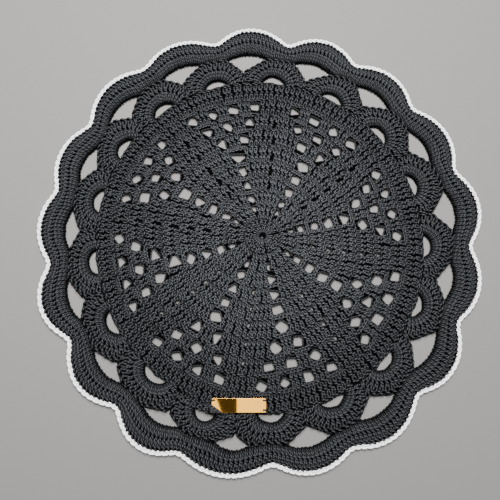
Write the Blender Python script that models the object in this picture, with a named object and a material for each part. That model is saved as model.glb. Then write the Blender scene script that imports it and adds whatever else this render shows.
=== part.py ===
"""A round crochet placemat: a charcoal openwork mat, its white edging and a small copper plate.

Metres, +Z up. The mat lies on its flat underside at z = 0, with the middle of its outline at the origin.
The first ring of the crochet is a little off that middle, and every place below is given from the first
ring: angles in degrees from +X, radii in metres.
"""
import math
import random

import bpy
from mathutils import Vector
from mathutils.geometry import delaunay_2d_cdt

# Heights of the crochet above the underside
ROUND_CREST = 0.0048   # middle of a round of stitches
ROUND_GROOVE = 0.0037  # between two rounds
ARCH_CREST = 0.0060    # the arches are fuller, because their stitches wrap a loop
RIM = 0.0040           # at a gap or the outer edge

# Rounds from the middle: outer radius, gaps in a sector, gap width, gap depth
ROUNDS = (
    (0.0146, 0, 0, 0),
    (0.0275, 0, 0, 0),
    (0.0398, 1, 0.0054, 0.0058),
    (0.0520, 1, 0.0066, 0.0066),
    (0.0646, 1, 0.0072, 0.0072),
    (0.0786, 1, 0.0090, 0.0084),
    (0.0930, 2, 0.0072, 0.0070),
    (0.1062, 3, 0.0074, 0.0068),
    (0.1196, 4, 0.0072, 0.0066),
    (0.1336, 0, 0, 0),
)
RING_RADIUS = 0.0018  # the ring that the first round is worked into is under 4 mm across: a dimple here
BLOCK_WIDTH = 0.0112  # three stitches between two gaps of a round
GAP_UNEVEN = 0.12     # how much the gaps differ in size
GAP_STRAIGHT = 0.6    # straight share of a gap's sides, between its rounded corners
CREST_SPACING = 0.009   # between points along the top of a round
GROOVE_SPACING = 0.011  # between points along the groove outside a round
CREST_CLEAR = 0.0012    # a round's top stays this far from a gap

# The eight lines of gaps: angle in the inner rounds, angle in the outer mesh
SPOKES = (
    (-161.0, -164.5),
    (-119.0, -120.5),
    (-80.0, -77.5),
    (-35.5, -31.5),
    (11.5, 15.5),
    (59.5, 61.0),
    (106.0, 107.0),
    (151.5, 151.0),
)
SPOKE_INNER = 0.050  # radius up to which the inner angle holds
SPOKE_OUTER = 0.114  # radius from which the outer angle holds
WEDGE_BULGE = 0.018  # the solid wedges reach further out than the lines of gaps, as a share of radius

# How the rounds lie: radius, slide along X and Y, share by which they are longer in Y than in X
LIE = (
    (0.0, 0.0, 0.0, 0.0),
    (0.034, -0.0013, -0.0022, 0.004),
    (0.046, -0.0018, -0.0026, 0.008),
    (0.114, -0.0018, -0.0026, 0.011),
    (0.1336, 0.0003, -0.0012, 0.017),
)

# The scallops, counter-clockwise: angle and radius of the notch before it, angle of the inner arch that
# stands behind that notch, then the radii of its tip, of its hole's outer side and of that hole's valley,
# the degrees from that hole's middle to its corners, the same for the inner arch's hole, and how far that
# one lies outside the last full round
SCALLOPS = (
    (-171.7, 0.1664, -170.1, 0.1780, 0.1600, 0.1475, 6.5, 4.5, 0),
    (-150.6, 0.1673, -148.7, 0.1795, 0.1620, 0.1500, 6.3, 4.5, 0),
    (-129.9, 0.1701, -127.5, 0.1830, 0.1645, 0.1530, 5.8, 4.5, 0),
    (-111.3, 0.1750, -108.3, 0.1815, 0.1660, 0.1540, 5.0, 3.4, 0.0066),
    (-88.3, 0.1719, -88.1, 0.1817, 0.1660, 0.1495, 6.5, 4.5, 0),
    (-68.0, 0.1742, -67.7, 0.1821, 0.1650, 0.1490, 6.6, 4.5, 0),
    (-46.4, 0.1703, -46.7, 0.1807, 0.1625, 0.1430, 6.7, 4.5, 0),
    (-24.0, 0.1688, -24.7, 0.1789, 0.1600, 0.1445, 6.4, 4.5, 0),
    (-2.3, 0.1701, -3.0, 0.1827, 0.1640, 0.1430, 6.7, 4.5, 0),
    (19.7, 0.1727, 19.7, 0.1828, 0.1630, 0.1465, 6.6, 4.5, 0),
    (41.1, 0.1729, 42.2, 0.1835, 0.1640, 0.1455, 6.7, 4.5, 0),
    (61.6, 0.1736, 63.2, 0.1839, 0.1625, 0.1440, 6.5, 4.5, 0),
    (81.8, 0.1707, 85.5, 0.1839, 0.1630, 0.1455, 6.7, 4.5, 0),
    (103.0, 0.1719, 106.4, 0.1819, 0.1640, 0.1480, 6.7, 4.5, 0),
    (124.6, 0.1734, 127.5, 0.1797, 0.1630, 0.1480, 6.5, 4.5, 0),
    (147.0, 0.1669, 147.3, 0.1747, 0.1580, 0.1445, 6.5, 4.5, 0),
    (167.9, 0.1665, 168.2, 0.1743, 0.1570, 0.1450, 6.6, 4.5, 0),
)
NOTCH_ROUND = 0.2           # share of half a scallop over which a notch is rounded
SCALLOP_STEPS = 9           # points of the outline in one scallop
OUTER_HOLE_SAG = 0.0045     # how far an outer hole's corners lie inside the middle of its outer side
OUTER_HOLE_FAR = (-1, -0.68, -0.34, 0, 0.34, 0.68, 1)  # points of its outer side, corner to corner
OUTER_HOLE_NEAR = (0.7, 0.35, 0, -0.35, -0.7)          # and back along its inner side, round the valley
SHOULDER_POWER = 1.1        # above 1, the shoulders beside the valley are hollow
INNER_HOLE_DEPTH = 0.0080   # from an inner hole's straight side to the middle of its arch
INNER_HOLE_FAR = (-1, -0.75, -0.35, 0.35, 0.75, 1)     # points of its outer side, corner to corner
INNER_HOLE_BASE = (0.5, 0, -0.5)                       # and back along its straight side
INNER_HOLE_POWER = 0.6      # below 1, the half-moon is fuller than a parabola
OUTER_CREST_STEPS = (-0.94, -0.5, 0, 0.5, 0.94)        # from notch to notch, points of an outer arch's top
OUTER_CREST_FOOT = 0.0095   # how far an outer arch's inner side lies further in at its feet
INNER_CREST_STEPS = (-1.5, -0.9, 0, 0.9, 1.5)          # the same for an inner arch, in half hole widths
INNER_CREST_RISE = (0.0135, 0.0070)                    # of its top past that straight side, middle and feet

# White edging worked along the outline
EDGING_GAP = 0.0003
EDGING_WIDTH = 0.0038
EDGING_HEIGHT = 0.0038
EDGING_CHAMFER = 0.0011

# Copper plate sewn on near the lower edge
PLATE_CENTRE = (-0.0197, -0.1316)
PLATE_LENGTH = 0.0408
PLATE_WIDTH = 0.0104
PLATE_THICK = 0.0009
PLATE_CORNER = 0.0008
PLATE_BOW = 0.0008          # the middle is this much higher than the ends
PLATE_STEPS = (0.98, 0.66, 0.33, 0, -0.33, -0.66, -0.98)  # points along a long side
PLATE_TURN = -0.5           # degrees
PLATE_SEAT = 0.0052         # height of the ends' underside, just clear of the stitches they lie on
PLATE_HOLE_RADIUS = 0.0007
PLATE_HOLE_INSET = 0.0017   # from a hole's middle to both edges
PLATE_HOLE_SIDES = 8
MERGE = 1e-7                # points nearer than this count as one


def mix(a, b, t):
    return a + (b - a) * t


def rounds_lie(r):
    """Slide along X and Y and oval share of a round of radius r."""
    for low, high in zip(LIE, LIE[1:]):
        if r <= high[0]:
            t = (r - low[0]) / (high[0] - low[0])
            return tuple(mix(low[k], high[k], t) for k in (1, 2, 3))
    return LIE[-1][1:]


def polar(deg, r):
    a = math.radians(deg)
    return Vector((r * math.cos(a), r * math.sin(a)))


def laid(deg, r):
    """Where a point of a round comes to lie, by its angle and its even radius."""
    slide_x, slide_y, oval = rounds_lie(r)
    a = math.radians(deg)
    reach = r * (1 - oval * math.cos(2 * a)) + slide_x * math.cos(a) + slide_y * math.sin(a)
    return polar(deg, reach)


def spoke_angle(sector, r):
    """Angle of a place given in sectors, where whole numbers are the lines of gaps."""
    t = min(1, max(0, (r - SPOKE_INNER) / (SPOKE_OUTER - SPOKE_INNER)))
    k = math.floor(sector)
    around = []
    for i in (k, k + 1):
        turns, row = divmod(i, len(SPOKES))
        around.append(mix(*SPOKES[row], t) + 360 * turns)
    return mix(*around, sector - k)


def chart(sector, r):
    """Where a stitch lies, by its place in the eight sectors and its even radius."""
    last = ROUNDS[-1][0]
    fade = min(1, (last - r) / (last - SPOKE_OUTER))
    bulge = WEDGE_BULGE * r * fade * (1 - math.cos(2 * math.pi * sector)) / 2
    return laid(spoke_angle(sector, r), r + bulge)


def sector_length(r):
    return 2 * math.pi * r / len(SPOKES)


def scallops():
    """Each scallop's row with the notch that follows it: its angle, its radius, and the arch behind it."""
    for i, row in enumerate(SCALLOPS):
        turn, following = divmod(i + 1, len(SCALLOPS))
        notch, radius, arch, *_ = SCALLOPS[following]
        yield row, (notch + 360 * turn, radius, arch + 360 * turn)


def outline_radius(deg):
    first = SCALLOPS[0][0]
    deg = (deg - first) % 360 + first
    for (start, low, _, tip, *_), (end, high, _) in scallops():
        if deg <= end:
            break
    t = (deg - start) / (end - start)
    off = abs(2 * t - 1)
    rounding = max(0, off - 1 + NOTCH_ROUND) ** 2 / NOTCH_ROUND
    rise = (1 - off * off + rounding - NOTCH_ROUND) / (1 - NOTCH_ROUND)
    return mix(low, high, t) + (tip - (low + high) / 2) * rise


def outline_angles():
    """Angles of the outline's points, the same number in each scallop."""
    angles = []
    for (start, *_), (end, *_) in scallops():
        angles += [mix(start, end, k / SCALLOP_STEPS) for k in range(SCALLOP_STEPS)]
    return angles


def outward(points, distance):
    """A closed outline moved outwards along its own normals."""
    moved = []
    for i, p in enumerate(points):
        along = (points[(i + 1) % len(points)] - points[i - 1]).normalized()
        moved.append(p + Vector((along.y, -along.x)) * distance)
    return moved


def mesh_gaps():
    """Outlines of the gaps in the mesh rounds, rounded four-sided and a little uneven."""
    spread = random.Random(7)
    gaps = []
    for (inner, *_), (outer, count, width, depth) in zip(ROUNDS, ROUNDS[1:]):
        middle = (inner + outer) / 2
        length = sector_length(middle)
        for sector in range(len(SPOKES)):
            for k in range(count):
                at = sector + (k - (count - 1) / 2) * (BLOCK_WIDTH + width) / length
                half_w = width / 2 * (1 + spread.uniform(-GAP_UNEVEN, GAP_UNEVEN)) / length
                half_d = depth / 2 * (1 + spread.uniform(-GAP_UNEVEN, GAP_UNEVEN))
                ring = []
                for corner_w, corner_d in ((1, 1), (-1, 1), (-1, -1), (1, -1)):
                    near = (corner_w, GAP_STRAIGHT * corner_d), (GAP_STRAIGHT * corner_w, corner_d)
                    if corner_w * corner_d < 0:
                        near = near[::-1]
                    ring += [chart(at + w * half_w, middle + d * half_d) for w, d in near]
                gaps.append(ring)
    return gaps


def arch_holes():
    """Outlines of the half-moon holes under the inner arches and of the holes under the outer arches."""
    inner, outer = [], []
    last = ROUNDS[-1][0]
    for (notch, _, arch, _, far, valley, half, inner_half, off), (next_notch, _, next_arch) in scallops():
        ring = []
        for t in INNER_HOLE_FAR:
            rise = INNER_HOLE_DEPTH * (1 - t * t) ** INNER_HOLE_POWER
            deg = arch + t * inner_half
            ring.append(polar(deg, laid(deg, last).length + off + rise))
        for t in INNER_HOLE_BASE:
            deg = arch + t * inner_half
            ring.append(polar(deg, laid(deg, last).length + off))
        inner.append(ring[::-1])
        low_point = (arch + next_arch) / 2
        middle = (low_point + (notch + next_notch) / 2) / 2
        corner = far - OUTER_HOLE_SAG
        ring = []
        for t in OUTER_HOLE_FAR:
            ring.append(polar(middle + t * half, far - OUTER_HOLE_SAG * t * t))
        for t in OUTER_HOLE_NEAR:
            deg = mix(low_point, middle, abs(t)) + t * half
            ring.append(polar(deg, mix(valley, corner, abs(t) ** SHOULDER_POWER)))
        outer.append(ring[::-1])
    return inner, outer


def crests(gaps):
    """Points along the tops of the rounds and arches, with their heights, clear of every gap."""
    found = [(Vector((0, 0)), ROUND_GROOVE)]
    radii = (RING_RADIUS, *(row[0] for row in ROUNDS))
    for low, high in zip(radii, radii[1:]):
        middle = (low + high) / 2
        count = len(SPOKES) * max(1, round(sector_length(middle) / CREST_SPACING))
        for k in range(count):
            found.append((chart(k * len(SPOKES) / count, middle), ROUND_CREST))
    last = ROUNDS[-1][0]
    for (notch, _, arch, _, far, _, _, inner_half, off), (next_notch, *_) in scallops():
        for t in OUTER_CREST_STEPS:
            deg = mix(notch, next_notch, (1 + t) / 2)
            inside = far - OUTER_CREST_FOOT * t * t
            found.append((polar(deg, (outline_radius(deg) + inside) / 2), ARCH_CREST))
        for t in INNER_CREST_STEPS:
            deg = arch + t * inner_half
            rise = mix(*INNER_CREST_RISE, (t / INNER_CREST_STEPS[-1]) ** 2)
            found.append((polar(deg, laid(deg, last).length + off + rise), ARCH_CREST))
    middles = [sum(ring, Vector((0, 0))) / len(ring) for ring in gaps]
    reaches = [max((p - m).length for p in ring) for ring, m in zip(gaps, middles)]
    clear = []
    for p, z in found:
        near = [i for i, m in enumerate(middles) if (p - m).length < reaches[i] + CREST_CLEAR]
        if all(distance_to(gaps[i], p) > CREST_CLEAR and not holds(gaps[i], p) for i in near):
            clear.append((p, z))
    return clear


def distance_to(ring, p):
    nearest = math.inf
    for a, b in zip(ring, ring[1:] + ring[:1]):
        along = b - a
        t = min(1, max(0, (p - a).dot(along) / along.length_squared))
        nearest = min(nearest, (p - a - along * t).length)
    return nearest


def holds(ring, p):
    inside = False
    for a, b in zip(ring, ring[1:] + ring[:1]):
        if (a.y > p.y) != (b.y > p.y) and p.x < a.x + (p.y - a.y) * (b.x - a.x) / (b.y - a.y):
            inside = not inside
    return inside


def grooves():
    """Closed loops of points between the rounds."""
    rings = []
    for radius, *_ in ROUNDS[:-1]:
        count = len(SPOKES) * max(2, round(sector_length(radius) / GROOVE_SPACING))
        rings.append([chart(k * len(SPOKES) / count, radius) for k in range(count)])
    return rings


def sheet_mesh(name, outline, holes, rings, loose, heights, underside):
    """A closed sheet with holes. The top takes its heights point by point, the underside from a function.

    outline and holes are closed loops of 2-D points, rings are closed loops that the top creases along,
    and loose are single points. heights holds one height for each point, in that order.
    """
    points = []
    edges = []
    for loop in (outline, *holes, *rings):
        start = len(points)
        points += loop
        edges += [(start + k, start + (k + 1) % len(loop)) for k in range(len(loop))]
    points += loose

    def filled(points, edges):
        found, _, faces, origins, _, _ = delaunay_2d_cdt(points, edges, [], 1, MERGE)
        middles = [sum((found[i] for i in face), Vector((0, 0))) / len(face) for face in faces]
        kept = [f for f, m in zip(faces, middles) if not any(holds(hole, m) for hole in holes)]
        return found, kept, origins

    top, top_faces, top_from = filled(points, edges)
    rim_count = len(outline) + sum(len(hole) for hole in holes)
    low, low_faces, low_from = filled(points[:rim_count], edges[:rim_count])
    verts = [(*p, heights[origin[0]]) for p, origin in zip(top, top_from)]
    verts += [(*p, underside(p)) for p in low]
    top_of = {origin[0]: i for i, origin in enumerate(top_from)}
    low_of = {origin[0]: i + len(top) for i, origin in enumerate(low_from)}
    faces = [tuple(face) for face in top_faces]
    faces += [tuple(i + len(top) for i in reversed(face)) for face in low_faces]
    start = 0
    for loop in (outline, *holes):
        for k in range(len(loop)):
            a, b = start + k, start + (k + 1) % len(loop)
            faces.append((top_of[a], low_of[a], low_of[b], top_of[b]))
        start += len(loop)
    mesh = bpy.data.meshes.new(name)
    mesh.from_pydata(verts, [], faces)
    mesh.validate()
    mesh.update()
    return mesh


def finish(name, colour, roughness, metallic=0.0):
    material = bpy.data.materials.new(name)
    material.use_nodes = True
    shader = material.node_tree.nodes["Principled BSDF"]
    shader.inputs["Base Color"].default_value = (*colour, 1)
    shader.inputs["Roughness"].default_value = roughness
    shader.inputs["Metallic"].default_value = metallic
    return material


def add(name, mesh, material, place):
    piece = bpy.data.objects.new(name, mesh)
    piece.location = (place.x, place.y, 0)
    mesh.materials.append(material)
    bpy.context.scene.collection.objects.link(piece)
    return piece


def crochet_mat():
    """The charcoal mat, one cloth: ten rounds, seventeen inner arches and seventeen outer arches."""
    outline = [polar(deg, outline_radius(deg)) for deg in outline_angles()]
    inner, outer = arch_holes()
    gaps = [*mesh_gaps(), *inner, *outer]
    rings = grooves()
    tops = crests(gaps)
    heights = [RIM] * (len(outline) + sum(len(ring) for ring in gaps))
    heights += [ROUND_GROOVE] * sum(len(ring) for ring in rings)
    heights += [z for _, z in tops]
    return sheet_mesh("crochet_mat", outline, gaps, rings, [p for p, _ in tops], heights, lambda p: 0.0)


def edging():
    """The white edging, a closed band along the outline with a flat underside."""
    line = [polar(deg, outline_radius(deg)) for deg in outline_angles()]
    c, w, h = EDGING_CHAMFER, EDGING_WIDTH, EDGING_HEIGHT
    section = ((0, 0), (w - c, 0), (w, c), (w, h - c), (w - c, h), (c, h), (0, h - c))
    loops = [[(*p, z) for p in outward(line, EDGING_GAP + x)] for x, z in section]
    count = len(line)
    verts = [v for loop in loops for v in loop]
    faces = []
    for s in range(len(section)):
        t = (s + 1) % len(section)
        for k in range(count):
            m = (k + 1) % count
            faces.append((s * count + k, s * count + m, t * count + m, t * count + k))
    mesh = bpy.data.meshes.new("white_edging")
    mesh.from_pydata(verts, [], faces)
    mesh.update()
    return mesh


def plate():
    """The copper plate, bowed a little along its length, with a sewing hole at each corner."""
    half_l, half_w = PLATE_LENGTH / 2, PLATE_WIDTH / 2
    turn = math.radians(PLATE_TURN)
    centre = Vector(PLATE_CENTRE)

    along = Vector((math.cos(turn), math.sin(turn)))
    across = Vector((-along.y, along.x))

    def turned(x, y):
        return centre + x * along + y * across

    def under(p):
        x = (p - centre).dot(along)
        return PLATE_SEAT + PLATE_BOW * (1 - (x / half_l) ** 2)

    outline = []
    for side in (1, -1):
        outline.append((side * half_l, side * (half_w - PLATE_CORNER)))
        outline += [(side * half_l * t, side * half_w) for t in PLATE_STEPS]
        outline.append((-side * half_l, side * (half_w - PLATE_CORNER)))
    holes = []
    for sx in (1, -1):
        for sy in (1, -1):
            x, y = sx * (half_l - PLATE_HOLE_INSET), sy * (half_w - PLATE_HOLE_INSET)
            ring = []
            for k in range(PLATE_HOLE_SIDES):
                a = -2 * math.pi * k / PLATE_HOLE_SIDES
                ring.append(turned(x + PLATE_HOLE_RADIUS * math.cos(a), y + PLATE_HOLE_RADIUS * math.sin(a)))
            holes.append(ring)
    loops = [[turned(x, y) for x, y in outline], *holes]
    heights = [under(p) + PLATE_THICK for loop in loops for p in loop]
    return sheet_mesh("label_plate", loops[0], holes, [], [], heights, under)


def main():
    for old in list(bpy.data.objects):
        bpy.data.objects.remove(old)
    edge = edging()
    reach = [(min(v.co[k] for v in edge.vertices), max(v.co[k] for v in edge.vertices)) for k in (0, 1)]
    first_ring = Vector([-(low + high) / 2 for low, high in reach])
    charcoal = finish("charcoal_yarn", (0.030, 0.032, 0.036), 0.9)
    white = finish("white_yarn", (0.80, 0.80, 0.78), 0.85)
    copper = finish("copper", (0.83, 0.47, 0.27), 0.2, metallic=1.0)
    add("crochet_mat", crochet_mat(), charcoal, first_ring)
    band = add("white_edging", edge, white, first_ring)
    band.data.shade_smooth()
    band.data.set_sharp_from_angle(angle=math.radians(40))
    add("label_plate", plate(), copper, first_ring)


main()
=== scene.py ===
"""The crochet placemat as it looks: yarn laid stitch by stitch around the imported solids.

Metres, +Z up, in the frame's own axes. Places on the mat are given from its first ring, by an angle in
degrees from +X and a radius. The mat lies on its underside at z = 0.
"""
import logging
import math
import random
from collections.abc import Callable, Iterator, Sequence
from dataclasses import asdict, dataclass
from enum import Enum
from typing import Any, NamedTuple

import bpy
from bpy.types import Material, Mesh, Node, NodeSocket, NodeTree, Object
from mathutils import Matrix, Vector
from mathutils.geometry import delaunay_2d_cdt


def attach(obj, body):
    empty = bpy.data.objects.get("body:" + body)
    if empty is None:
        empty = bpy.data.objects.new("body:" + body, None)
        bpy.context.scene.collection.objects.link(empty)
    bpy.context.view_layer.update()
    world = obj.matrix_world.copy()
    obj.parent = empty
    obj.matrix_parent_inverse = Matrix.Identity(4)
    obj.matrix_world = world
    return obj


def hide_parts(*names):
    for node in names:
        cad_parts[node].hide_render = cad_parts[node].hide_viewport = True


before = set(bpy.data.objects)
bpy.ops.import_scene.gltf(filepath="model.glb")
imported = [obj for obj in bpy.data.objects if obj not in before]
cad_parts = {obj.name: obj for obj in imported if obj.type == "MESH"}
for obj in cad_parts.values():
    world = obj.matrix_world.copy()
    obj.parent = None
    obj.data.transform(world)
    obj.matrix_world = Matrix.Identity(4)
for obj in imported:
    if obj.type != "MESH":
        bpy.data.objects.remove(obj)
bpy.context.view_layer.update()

log = logging.getLogger("placemat")

Triple = tuple[float, float, float]

FIRST_RING = Vector((-0.0033, -0.0022, 0.0))  # the crochet's first ring, off the middle of the outline
MERGE = 1e-7                                  # points nearer than this count as one


class Slot(Enum):
    """The record's material slots."""

    CHARCOAL = "charcoal_yarn"
    WHITE = "white_yarn"
    COPPER = "copper"


class Round(NamedTuple):
    """A full round of stitches, with its numbers for one of the eight sectors."""

    radius: float            # outer radius
    gaps: int                # gaps in the sector
    width: float             # of a gap
    depth: float             # of a gap
    wedge: int               # stitches of the solid wedge between two lines of gaps
    slit_foot: float = 0.0   # how far the two middle stitches of a wedge stand apart at their feet
    slit_head: float = 0.0   # and at their heads
    pinhole: float = 0.0     # radius of the light that shows between them
    pinhole_at: float = 0.0  # its place, as a share of the round's depth


class Scallop(NamedTuple):
    """An outer arch with its hole, the notch before it and the inner arch behind that notch."""

    notch: float             # degrees
    notch_radius: float
    arch: float              # degrees
    tip: float               # radius
    far: float               # radius of the hole's outer side
    valley: float            # radius of the hole's inner side
    half: float              # degrees from the hole's middle to its corners
    inner_half: float = 4.5  # the same for the inner arch's hole
    off: float = 0.0         # how far that one lies outside the last full round


ROUNDS = (
    Round(0.0146, 0, 0, 0, 0),
    Round(0.0275, 0, 0, 0, 4, 0.0002, 0.0034, 0.0018, 0.78),
    Round(0.0398, 1, 0.0054, 0.0058, 6),
    Round(0.0520, 1, 0.0066, 0.0066, 8, 0.0038, -0.0016, 0.0013, 0.25),
    Round(0.0646, 1, 0.0072, 0.0072, 10, 0.0040, -0.0016, 0.0014, 0.25),
    Round(0.0786, 1, 0.0090, 0.0084, 12, 0.0038, -0.0016, 0.0013, 0.25),
    Round(0.0930, 2, 0.0072, 0.0070, 10, 0.0036, -0.0018, 0.0012, 0.25),
    Round(0.1062, 3, 0.0074, 0.0068, 8, 0.0036, -0.0018, 0.0012, 0.25),
    Round(0.1196, 4, 0.0072, 0.0066, 6),
    Round(0.1336, 0, 0, 0, 23),
)
LAST_ROUND = ROUNDS[-1].radius
RING_RADIUS = 0.0026      # of the ring that the first round is worked into
FIRST_STITCHES = 12       # in the first round
BLOCK_WIDTH = 0.0112      # of the stitches between two gaps of a round
BLOCK_STITCHES = 3
GAP_UNEVEN = 0.12         # how much the gaps differ in size
GAP_LEAN = (0.95, 1.25)   # how near the posts beside a gap stand
GAP_CORNERS = (3, 4, 4, 4)       # about one gap in four is a triangle
GAP_REACH = (1.12, 1.42)  # how far a gap's corners reach, in shares of its half width and half depth
TRIANGLE_REACH = 1.12     # a triangle's corners reach this much further
GAP_TURN = 14.0           # how far the corners turn from even places, in degrees
GAP_SIDE = (0.08, 0.5, 0.92)     # points along a gap's side, which leave its corners blunt
SIZE_SEED, LEAN_SEED, CORNER_SEED, STITCH_SEED = 7, 5, 3, 11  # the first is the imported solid's too
CENTRE_HOLE = (Vector((-0.0008, -0.0014)), 0.0013)            # middle and radius
HEXAGON = range(0, 360, 60)
PINHOLE_LENGTH = 1.5      # of a pinhole along its posts, in shares of its width
LIT_WEDGES = range(4)     # wedges whose middle stitches stand so far apart that light shows between them

# The eight lines of gaps: angle in the inner rounds, angle in the outer mesh
SPOKES = (
    (-161.0, -164.5), (-119.0, -120.5), (-80.0, -77.5), (-35.5, -31.5),
    (11.5, 15.5), (59.5, 61.0), (106.0, 107.0), (151.5, 151.0),
)
SPOKE_INNER, SPOKE_OUTER = 0.050, 0.114  # radii up to which the one holds and from which the other does
WEDGE_BULGE = 0.018  # the solid wedges reach further out than the lines of gaps, as a share of radius

# How the rounds lie: radius, slide along X and Y, share by which they are longer in Y and shorter in X
LIE = (
    (0.0, 0.0, 0.0, 0.0),
    (0.034, -0.0013, -0.0022, 0.004),
    (0.046, -0.0018, -0.0026, 0.008),
    (0.114, -0.0018, -0.0026, 0.011),
    (0.1336, 0.0003, -0.0012, 0.017),
)
SCALLOPS = (
    Scallop(-171.7, 0.1664, -170.1, 0.1780, 0.1600, 0.1475, 6.5),
    Scallop(-150.6, 0.1673, -148.7, 0.1795, 0.1620, 0.1500, 6.3),
    Scallop(-129.9, 0.1701, -127.5, 0.1830, 0.1645, 0.1530, 5.8),
    Scallop(-111.3, 0.1750, -108.3, 0.1815, 0.1660, 0.1540, 5.0, 3.4, 0.0066),
    Scallop(-88.3, 0.1719, -88.1, 0.1817, 0.1660, 0.1495, 6.5),
    Scallop(-68.0, 0.1742, -67.7, 0.1821, 0.1650, 0.1490, 6.6),
    Scallop(-46.4, 0.1703, -46.7, 0.1807, 0.1625, 0.1430, 6.7),
    Scallop(-24.0, 0.1688, -24.7, 0.1789, 0.1600, 0.1445, 6.4),
    Scallop(-2.3, 0.1701, -3.0, 0.1827, 0.1640, 0.1430, 6.7),
    Scallop(19.7, 0.1727, 19.7, 0.1828, 0.1630, 0.1465, 6.6),
    Scallop(41.1, 0.1729, 42.2, 0.1835, 0.1640, 0.1455, 6.7),
    Scallop(61.6, 0.1736, 63.2, 0.1839, 0.1625, 0.1440, 6.5),
    Scallop(81.8, 0.1707, 85.5, 0.1839, 0.1630, 0.1455, 6.7),
    Scallop(103.0, 0.1719, 106.4, 0.1819, 0.1640, 0.1480, 6.7),
    Scallop(124.6, 0.1734, 127.5, 0.1797, 0.1630, 0.1480, 6.5),
    Scallop(147.0, 0.1669, 147.3, 0.1747, 0.1580, 0.1445, 6.5),
    Scallop(167.9, 0.1665, 168.2, 0.1743, 0.1570, 0.1450, 6.6),
)
NOTCH_ROUND = 0.2          # share of half a scallop over which a notch is rounded
OUTER_HOLE_SAG = 0.0045    # how far an outer hole's corners lie inside the middle of its outer side
SHOULDER_POWER = 1.1       # above 1, an outer hole's inner side rises slowly at first from its valley
INNER_HOLE_DEPTH = 0.0080  # from an inner hole's straight side to the middle of its arch
INNER_HOLE_POWER = 0.6     # below 1, the half-moon is fuller than a parabola
ARC_STEPS = 12             # of a scallop's outline, and of each half of a hole's side
MOON_FAR = (-1, -0.75, -0.35, 0, 0.35, 0.75, 1)  # points of a half-moon hole along its outer side
MOON_BASE = (0.5, 0, -0.5)                       # and along its straight side
EYE_NEAR = (0.7, 0.35, 0, -0.35, -0.7)           # points of an outer hole along its inner side


def mix(a: Any, b: Any, t: float) -> Any:
    """The value or vector a share t of the way from a to b."""
    return a + (b - a) * t


def spaced(line: Sequence[Vector], count: int, closed: bool = False) -> list[Vector]:
    """Points at even distances along a line.

    Args:
        line: Corners of the line.
        count: Steps to divide it into.
        closed: True if it returns to its first point.

    Returns:
        count + 1 points from end to end, or count points of a closed line.
    """
    corners = [*line, line[0]] if closed else list(line)
    reach = [0.0]
    for a, b in zip(corners, corners[1:]):
        reach.append(reach[-1] + (b - a).length)
    points = []
    leg = 0
    for k in range(count if closed else count + 1):
        at = reach[-1] * k / count
        while leg < len(corners) - 2 and reach[leg + 1] < at:
            leg += 1
        span = max(reach[leg + 1] - reach[leg], MERGE)
        points.append(mix(corners[leg], corners[leg + 1], (at - reach[leg]) / span))
    return points


def moved_out(ring: Sequence[Vector], distance: float) -> list[Vector]:
    """A closed outline with every point moved along its normal.

    Args:
        ring: Points of the outline, in either direction.
        distance: How far outwards, or inwards if negative.

    Returns:
        The moved points.
    """
    area = sum(a.x * b.y - b.x * a.y for a, b in zip(ring, [*ring[1:], ring[0]]))
    side = math.copysign(distance, area)
    moved = []
    for i, p in enumerate(ring):
        along = (ring[(i + 1) % len(ring)] - ring[i - 1]).normalized()
        moved.append(p + Vector((along.y, -along.x)) * side)
    return moved


def holds(ring: Sequence[Vector], p: Vector) -> bool:
    """Whether a closed outline goes round a point.

    Args:
        ring: Points of the outline.
        p: The point.

    Returns:
        True if it does.
    """
    inside = False
    for a, b in zip(ring, [*ring[1:], ring[0]]):
        if (a.y > p.y) != (b.y > p.y) and p.x < a.x + (p.y - a.y) * (b.x - a.x) / (b.y - a.y):
            inside = not inside
    return inside


def raised(points: Sequence[Vector], height: float) -> list[Vector]:
    """Points of the mat at a height above its underside."""
    return [Vector((p.x, p.y, height)) for p in points]


class Opening(NamedTuple):
    """A gap or a slit in a round, in sectors from the first line of gaps."""

    at: float
    half_foot: float = 0.0
    half_head: float = 0.0
    half_depth: float = 0.0

    @property
    def is_gap(self) -> bool:
        """True for a gap, False for the slit in the middle of a wedge."""
        return self.half_depth > 0


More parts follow.
